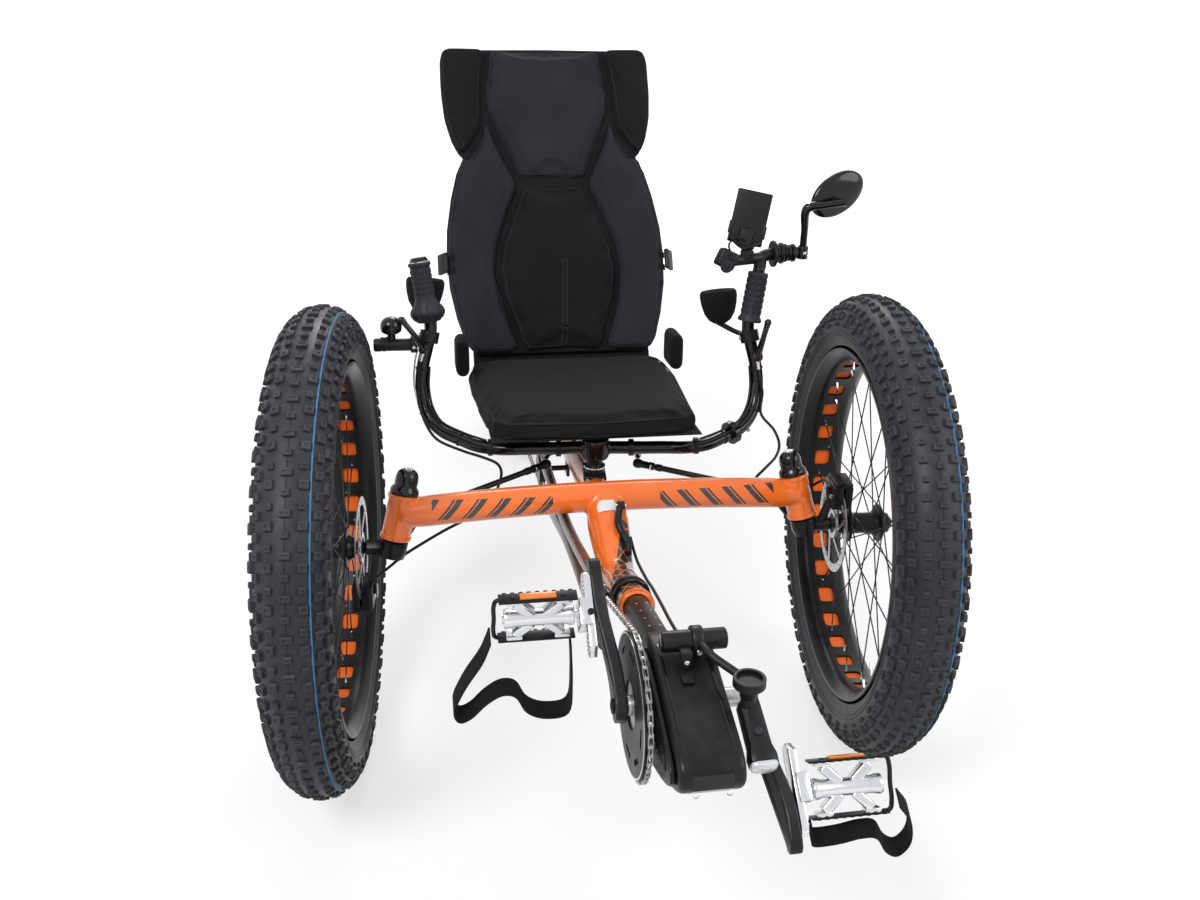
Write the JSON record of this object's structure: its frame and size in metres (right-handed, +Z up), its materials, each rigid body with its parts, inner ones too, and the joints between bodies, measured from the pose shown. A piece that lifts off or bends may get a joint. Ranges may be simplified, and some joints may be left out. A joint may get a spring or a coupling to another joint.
{
  "type": "recumbent trike",
  "caption": "Recumbent tadpole trike with fat tyres, padded seat, linked kingpin steering, and a drive unit with cranks on a sliding boom.",
  "frame": {"origin": "on the ground, at the centre of the footprint box", "axes": "+Z up, -Y the way the rider faces, +X the rider's left"},
  "size_m": [1.0274, 2.2956, 1.0515],
  "materials": {
    "orange_paint": "gloss orange paint",
    "black_paint": "satin black paint",
    "black_anodised": "black anodised",
    "bright_aluminium": "bright machined",
    "chain_steel": "bright plated steel",
    "tyre_rubber": "matt charcoal rubber",
    "grip_rubber": "ribbed rubber",
    "black_plastic": "satin black",
    "grey_fabric": "dark grey woven",
    "black_fabric": "black woven",
    "black_webbing": "black webbing",
    "clear_lens": "clear faceted",
    "smoked_tube": "smoked plastic"
  },
  "bodies": {
    "frame": {"front_frame": "orange_paint", "rear_frame": "orange_paint", "steering_post": "black_anodised", "seat_frame": "black_paint", "seat_sling": "black_fabric", "headrest_cushion": "grey_fabric", "back_cushion": "grey_fabric", "base_cushion": "black_fabric", "boom_clamp": "orange_paint", "chain_tube_drive": "smoked_tube", "chain_tube_return": "smoked_tube", "chain": "chain_steel", "kingpin_cap_left": "black_anodised", "kingpin_cap_right": "black_anodised", "rear_derailleur": "black_anodised", "brake_cable_left": "black_plastic", "brake_cable_right": "black_plastic", "drive_cable": "black_plastic"},
    "boom_lever": {"boom_lever": "black_anodised"},
    "boom": {"boom": "black_paint", "drive_unit": "black_plastic", "drive_cover": "black_plastic", "accessory_bar": "black_anodised"},
    "lamp_arm": {"lamp_mount": "black_anodised", "lamp_body": "black_plastic", "lamp_lens": "clear_lens"},
    "cranks": {"chainring": "chain_steel", "crank_left": "black_anodised", "crank_right": "black_anodised", "crank_shortener_left": "bright_aluminium", "crank_shortener_right": "bright_aluminium"},
    "pedal_left": {"pedal_body_left": "bright_aluminium", "pedal_cage_left": "black_anodised", "pedal_strap_left": "black_webbing"},
    "pedal_right": {"pedal_body_right": "bright_aluminium", "pedal_cage_right": "black_anodised", "pedal_strap_right": "black_webbing"},
    "idler": {"idler_wheel": "black_plastic"},
    "cassette": {"cassette": "chain_steel"},
    "rear_wheel": {"rear_wheel": "black_anodised", "rear_tyre": "tyre_rubber"},
    "handlebar": {"handlebar": "black_anodised", "grip_left": "grip_rubber", "grip_right": "grip_rubber", "palm_rest_left": "black_fabric", "palm_rest_right": "black_fabric", "bell": "black_anodised"},
    "brake_lever_left": {"brake_lever_left": "black_anodised"},
    "brake_lever_right": {"brake_lever_right": "black_anodised"},
    "tie_rod_left": {"tie_rod_left": "black_anodised"},
    "tie_rod_right": {"tie_rod_right": "black_anodised"},
    "knuckle_left": {"knuckle_left": "black_anodised"},
    "knuckle_right": {"knuckle_right": "black_anodised"},
    "front_wheel_left": {"front_wheel_left": "black_anodised", "front_tyre_left": "tyre_rubber"},
    "front_wheel_right": {"front_wheel_right": "black_anodised", "front_tyre_right": "tyre_rubber"},
    "display": {"display": "black_plastic"},
    "mirror_arm": {"mirror_arm": "black_anodised"},
    "mirror_head": {"mirror_head": "black_plastic"}
  },
  "joints": [
    {"name": "boom_slide", "type": "slide", "parent": "frame", "child": "boom", "axis": [0, -0.9806, 0.1959], "range_m": [-0.01, 0.05], "deforming": ["chain", "drive_cable"]},
    {"name": "boom_lever_turn", "type": "hinge", "parent": "frame", "child": "boom_lever", "pos_m": [0.0172, -0.52575, 0.4468], "axis": [-1, 0, 0], "range_deg": [0, 70]},
    {"name": "lamp_tilt", "type": "hinge", "parent": "boom", "child": "lamp_arm", "pos_m": [0.017, -0.99375, 0.4995], "axis": [1, 0, 0], "range_deg": [-20, 20]},
    {"name": "crank_spin", "type": "hinge", "parent": "boom", "child": "cranks", "pos_m": [0, -1.00275, 0.421], "axis": [1, 0, 0], "continuous": true},
    {"name": "pedal_left_spin", "type": "hinge", "parent": "cranks", "child": "pedal_left", "pos_m": [0.1863, -1.0903, 0.3449], "axis": [1, 0, 0], "continuous": true},
    {"name": "pedal_right_spin", "type": "hinge", "parent": "cranks", "child": "pedal_right", "pos_m": [-0.1563, -0.9152, 0.4971], "axis": [1, 0, 0], "continuous": true},
    {"name": "idler_spin", "type": "hinge", "parent": "frame", "child": "idler", "pos_m": [-0.06189, -0.14775, 0.343], "axis": [1, 0, 0], "continuous": true},
    {"name": "cassette_spin", "type": "hinge", "parent": "frame", "child": "cassette", "pos_m": [-0.076, 0.77225, 0.3755], "axis": [1, 0, 0], "continuous": true},
    {"name": "rear_wheel_spin", "type": "hinge", "parent": "frame", "child": "rear_wheel", "pos_m": [0, 0.77225, 0.3755], "axis": [1, 0, 0], "continuous": true},
    {"name": "steer", "type": "hinge", "parent": "frame", "child": "handlebar", "pos_m": [0, -0.37775, 0.482], "axis": [0, 0, 1], "range_deg": [-17, 27], "deforming": ["brake_cable_left", "brake_cable_right"]},
    {"name": "knuckle_left_turn", "type": "hinge", "parent": "frame", "child": "knuckle_left", "pos_m": [0.333, -0.48575, 0.3755], "axis": [-0.2319, 0.2022, 0.9515], "range_deg": [-17, 27]},
    {"name": "knuckle_right_turn", "type": "hinge", "parent": "frame", "child": "knuckle_right", "pos_m": [-0.333, -0.48575, 0.3755], "axis": [0.2319, 0.2022, 0.9515], "range_deg": [-17, 27]},
    {"name": "tie_rod_left_turn", "type": "hinge", "parent": "handlebar", "child": "tie_rod_left", "pos_m": [0.08266, -0.33005, 0.428], "axis": [0, -0.0349, 0.9994], "range_deg": [-35.1, 22.1]},
    {"name": "tie_rod_right_turn", "type": "hinge", "parent": "handlebar", "child": "tie_rod_right", "pos_m": [-0.07269, -0.31591, 0.428], "axis": [0, -0.0349, 0.9994], "range_deg": [-35.1, 22.1]},
    {"name": "front_wheel_left_spin", "type": "hinge", "parent": "knuckle_left", "child": "front_wheel_left", "pos_m": [0.4306, -0.49463, 0.3755], "axis": [0.9959, -0.0906, 0], "continuous": true},
    {"name": "front_wheel_right_spin", "type": "hinge", "parent": "knuckle_right", "child": "front_wheel_right", "pos_m": [-0.4306, -0.47687, 0.3755], "axis": [0.9959, -0.0906, 0], "continuous": true},
    {"name": "brake_lever_left_pull", "type": "hinge", "parent": "handlebar", "child": "brake_lever_left", "pos_m": [0.293, -0.29575, 0.6015], "axis": [-1, 0, 0], "range_deg": [0, 18], "stiffness_Nm_per_rad": 0.6},
    {"name": "brake_lever_right_pull", "type": "hinge", "parent": "handlebar", "child": "brake_lever_right", "pos_m": [-0.272, -0.24475, 0.618], "axis": [-1, 0, 0], "range_deg": [0, 18], "stiffness_Nm_per_rad": 0.6},
    {"name": "display_tilt", "type": "hinge", "parent": "handlebar", "child": "display", "pos_m": [0.274, -0.25175, 0.782], "axis": [1, 0, 0], "range_deg": [-12, 15]},
    {"name": "mirror_arm_turn", "type": "hinge", "parent": "handlebar", "child": "mirror_arm", "pos_m": [0.38, -0.22775, 0.764], "axis": [0, 0, 1], "range_deg": [-25, 25]},
    {"name": "mirror_head_tilt", "type": "hinge", "parent": "mirror_arm", "child": "mirror_head", "pos_m": [0.434, -0.25575, 0.856], "axis": [0.8468, 0.1863, 0.4981], "range_deg": [-10, 8]}
  ],
  "couplings": [
    {"joint": "idler_spin", "follows": "crank_spin", "ratio": 2.9833},
    {"joint": "cassette_spin", "follows": "crank_spin", "ratio": 1.9889},
    {"joint": "knuckle_left_turn", "follows": "steer", "ratio": 1},
    {"joint": "knuckle_right_turn", "follows": "steer", "ratio": 1},
    {"joint": "tie_rod_left_turn", "follows": "steer", "ratio": -1.3},
    {"joint": "tie_rod_right_turn", "follows": "steer", "ratio": -1.3}
  ]
}
